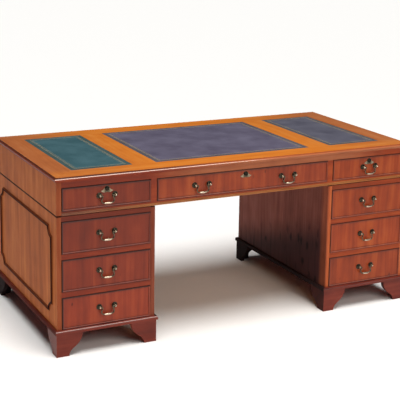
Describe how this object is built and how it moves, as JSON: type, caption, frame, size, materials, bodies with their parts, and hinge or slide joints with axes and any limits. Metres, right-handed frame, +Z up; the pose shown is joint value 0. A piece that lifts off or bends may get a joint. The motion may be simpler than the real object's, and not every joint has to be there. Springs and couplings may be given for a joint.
{
  "type": "partners desk",
  "caption": "Twin-pedestal partners desk with leather writing panels, locking upper drawers, pedestal drawers, rear cupboards and swan-neck drop handles on bracket feet.",
  "frame": {"origin": "on the floor, under the middle of the desk", "axes": "+X to the right of a person who sits at the drawer side, +Y towards the cupboard side, +Z up"},
  "size_m": [1.838, 0.926, 0.798],
  "materials": {
    "polished_top": "polished",
    "front_veneer": "satin polish",
    "side_veneer": "satin polish",
    "base_wood": "satin polish",
    "dark_moulding": "satin polish",
    "carcase_wood": "plain",
    "drawer_wood": "plain",
    "teal_leather": "tooled hide",
    "purple_leather": "tooled hide",
    "slate_leather": "tooled hide",
    "antique_brass": "antique, rubbed bright on the grips",
    "lock_metal": "dark lacquered"
  },
  "bodies": {
    "desk": {"top_board": "polished_top", "leather_left": "teal_leather", "leather_centre": "purple_leather", "leather_right": "slate_leather", "upper_case_ends": "side_veneer", "upper_case_front_frame": "front_veneer", "upper_case_back_panel": "front_veneer", "upper_case_partitions": "carcase_wood", "upper_case_bottom": "carcase_wood", "pedestal_sides": "side_veneer", "pedestal_boards": "carcase_wood", "drawer_rails": "front_veneer", "side_mouldings": "dark_moulding", "plinths": "base_wood", "bracket_feet": "base_wood", "hinge_leaves": "antique_brass"},
    "upper_centre_drawer": {"upper_centre_drawer_front": "front_veneer", "upper_centre_drawer_box": "drawer_wood", "upper_centre_drawer_hardware": "antique_brass"},
    "upper_centre_drawer_bail_left": {"upper_centre_drawer_bail_left": "antique_brass"},
    "upper_centre_drawer_bail_right": {"upper_centre_drawer_bail_right": "antique_brass"},
    "upper_centre_drawer_lock_cylinder": {"upper_centre_drawer_lock_cylinder": "lock_metal"},
    "upper_left_drawer": {"upper_left_drawer_front": "front_veneer", "upper_left_drawer_box": "drawer_wood", "upper_left_drawer_hardware": "antique_brass"},
    "upper_left_drawer_bail": {"upper_left_drawer_bail": "antique_brass"},
    "upper_left_drawer_lock_cylinder": {"upper_left_drawer_lock_cylinder": "lock_metal"},
    "left_drawer_1": {"left_drawer_1_front": "front_veneer", "left_drawer_1_box": "drawer_wood", "left_drawer_1_hardware": "antique_brass"},
    "left_drawer_1_bail": {"left_drawer_1_bail": "antique_brass"},
    "left_drawer_2": {"left_drawer_2_front": "front_veneer", "left_drawer_2_box": "drawer_wood", "left_drawer_2_hardware": "antique_brass"},
    "left_drawer_2_bail": {"left_drawer_2_bail": "antique_brass"},
    "left_drawer_3": {"left_drawer_3_front": "front_veneer", "left_drawer_3_box": "drawer_wood", "left_drawer_3_hardware": "antique_brass"},
    "left_drawer_3_bail": {"left_drawer_3_bail": "antique_brass"},
    "upper_right_drawer": {"upper_right_drawer_front": "front_veneer", "upper_right_drawer_box": "drawer_wood", "upper_right_drawer_hardware": "antique_brass"},
    "upper_right_drawer_bail": {"upper_right_drawer_bail": "antique_brass"},
    "upper_right_drawer_lock_cylinder": {"upper_right_drawer_lock_cylinder": "lock_metal"},
    "right_drawer_1": {"right_drawer_1_front": "front_veneer", "right_drawer_1_box": "drawer_wood", "right_drawer_1_hardware": "antique_brass"},
    "right_drawer_1_bail": {"right_drawer_1_bail": "antique_brass"},
    "right_drawer_2": {"right_drawer_2_front": "front_veneer", "right_drawer_2_box": "drawer_wood", "right_drawer_2_hardware": "antique_brass"},
    "right_drawer_2_bail": {"right_drawer_2_bail": "antique_brass"},
    "right_drawer_3": {"right_drawer_3_front": "front_veneer", "right_drawer_3_box": "drawer_wood", "right_drawer_3_hardware": "antique_brass"},
    "right_drawer_3_bail": {"right_drawer_3_bail": "antique_brass"},
    "left_door": {"left_door": "side_veneer", "left_door_hardware": "antique_brass"},
    "right_door": {"right_door": "side_veneer", "right_door_hardware": "antique_brass"}
  },
  "joints": [
    {"name": "upper_centre_drawer_slide", "type": "slide", "parent": "desk", "child": "upper_centre_drawer", "axis": [0, -1, 0], "range_m": [0, 0.33]},
    {"name": "upper_centre_drawer_bail_left_swing", "type": "hinge", "parent": "upper_centre_drawer", "child": "upper_centre_drawer_bail_left", "pos_m": [-0.223, -0.454, 0.703], "axis": [-1, 0, 0], "range_deg": [-12, 90]},
    {"name": "upper_centre_drawer_bail_right_swing", "type": "hinge", "parent": "upper_centre_drawer", "child": "upper_centre_drawer_bail_right", "pos_m": [0.223, -0.454, 0.703], "axis": [-1, 0, 0], "range_deg": [-12, 90]},
    {"name": "upper_centre_drawer_lock_turn", "type": "hinge", "parent": "upper_centre_drawer", "child": "upper_centre_drawer_lock_cylinder", "pos_m": [0, -0.441, 0.731], "axis": [0, -1, 0], "range_deg": [0, 90]},
    {"name": "upper_left_drawer_slide", "type": "slide", "parent": "desk", "child": "upper_left_drawer", "axis": [0, -1, 0], "range_m": [0, 0.33]},
    {"name": "upper_left_drawer_bail_swing", "type": "hinge", "parent": "upper_left_drawer", "child": "upper_left_drawer_bail", "pos_m": [-0.6775, -0.454, 0.703], "axis": [-1, 0, 0], "range_deg": [-12, 90]},
    {"name": "upper_left_drawer_lock_turn", "type": "hinge", "parent": "upper_left_drawer", "child": "upper_left_drawer_lock_cylinder", "pos_m": [-0.6775, -0.441, 0.731], "axis": [0, -1, 0], "range_deg": [0, 90]},
    {"name": "left_drawer_1_slide", "type": "slide", "parent": "desk", "child": "left_drawer_1", "axis": [0, -1, 0], "range_m": [0, 0.33]},
    {"name": "left_drawer_1_bail_swing", "type": "hinge", "parent": "left_drawer_1", "child": "left_drawer_1_bail", "pos_m": [-0.6785, -0.454, 0.53933], "axis": [-1, 0, 0], "range_deg": [-12, 90]},
    {"name": "left_drawer_2_slide", "type": "slide", "parent": "desk", "child": "left_drawer_2", "axis": [0, -1, 0], "range_m": [0, 0.33]},
    {"name": "left_drawer_2_bail_swing", "type": "hinge", "parent": "left_drawer_2", "child": "left_drawer_2_bail", "pos_m": [-0.6785, -0.454, 0.37], "axis": [-1, 0, 0], "range_deg": [-12, 90]},
    {"name": "left_drawer_3_slide", "type": "slide", "parent": "desk", "child": "left_drawer_3", "axis": [0, -1, 0], "range_m": [0, 0.33]},
    {"name": "left_drawer_3_bail_swing", "type": "hinge", "parent": "left_drawer_3", "child": "left_drawer_3_bail", "pos_m": [-0.6785, -0.454, 0.20067], "axis": [-1, 0, 0], "range_deg": [-12, 90]},
    {"name": "upper_right_drawer_slide", "type": "slide", "parent": "desk", "child": "upper_right_drawer", "axis": [0, -1, 0], "range_m": [0, 0.33]},
    {"name": "upper_right_drawer_bail_swing", "type": "hinge", "parent": "upper_right_drawer", "child": "upper_right_drawer_bail", "pos_m": [0.6775, -0.454, 0.703], "axis": [-1, 0, 0], "range_deg": [-12, 90]},
    {"name": "upper_right_drawer_lock_turn", "type": "hinge", "parent": "upper_right_drawer", "child": "upper_right_drawer_lock_cylinder", "pos_m": [0.6775, -0.441, 0.731], "axis": [0, -1, 0], "range_deg": [0, 90]},
    {"name": "right_drawer_1_slide", "type": "slide", "parent": "desk", "child": "right_drawer_1", "axis": [0, -1, 0], "range_m": [0, 0.33]},
    {"name": "right_drawer_1_bail_swing", "type": "hinge", "parent": "right_drawer_1", "child": "right_drawer_1_bail", "pos_m": [0.6785, -0.454, 0.53933], "axis": [-1, 0, 0], "range_deg": [-12, 90]},
    {"name": "right_drawer_2_slide", "type": "slide", "parent": "desk", "child": "right_drawer_2", "axis": [0, -1, 0], "range_m": [0, 0.33]},
    {"name": "right_drawer_2_bail_swing", "type": "hinge", "parent": "right_drawer_2", "child": "right_drawer_2_bail", "pos_m": [0.6785, -0.454, 0.37], "axis": [-1, 0, 0], "range_deg": [-12, 90]},
    {"name": "right_drawer_3_slide", "type": "slide", "parent": "desk", "child": "right_drawer_3", "axis": [0, -1, 0], "range_m": [0, 0.33]},
    {"name": "right_drawer_3_bail_swing", "type": "hinge", "parent": "right_drawer_3", "child": "right_drawer_3_bail", "pos_m": [0.6785, -0.454, 0.20067], "axis": [-1, 0, 0], "range_deg": [-12, 90]},
    {"name": "left_door_hinge", "type": "hinge", "parent": "desk", "child": "left_door", "pos_m": [-0.8843, 0.445, 0.358], "axis": [0, 0, 1], "range_deg": [0, 100]},
    {"name": "right_door_hinge", "type": "hinge", "parent": "desk", "child": "right_door", "pos_m": [0.8843, 0.445, 0.358], "axis": [0, 0, -1], "range_deg": [0, 100]}
  ]
}
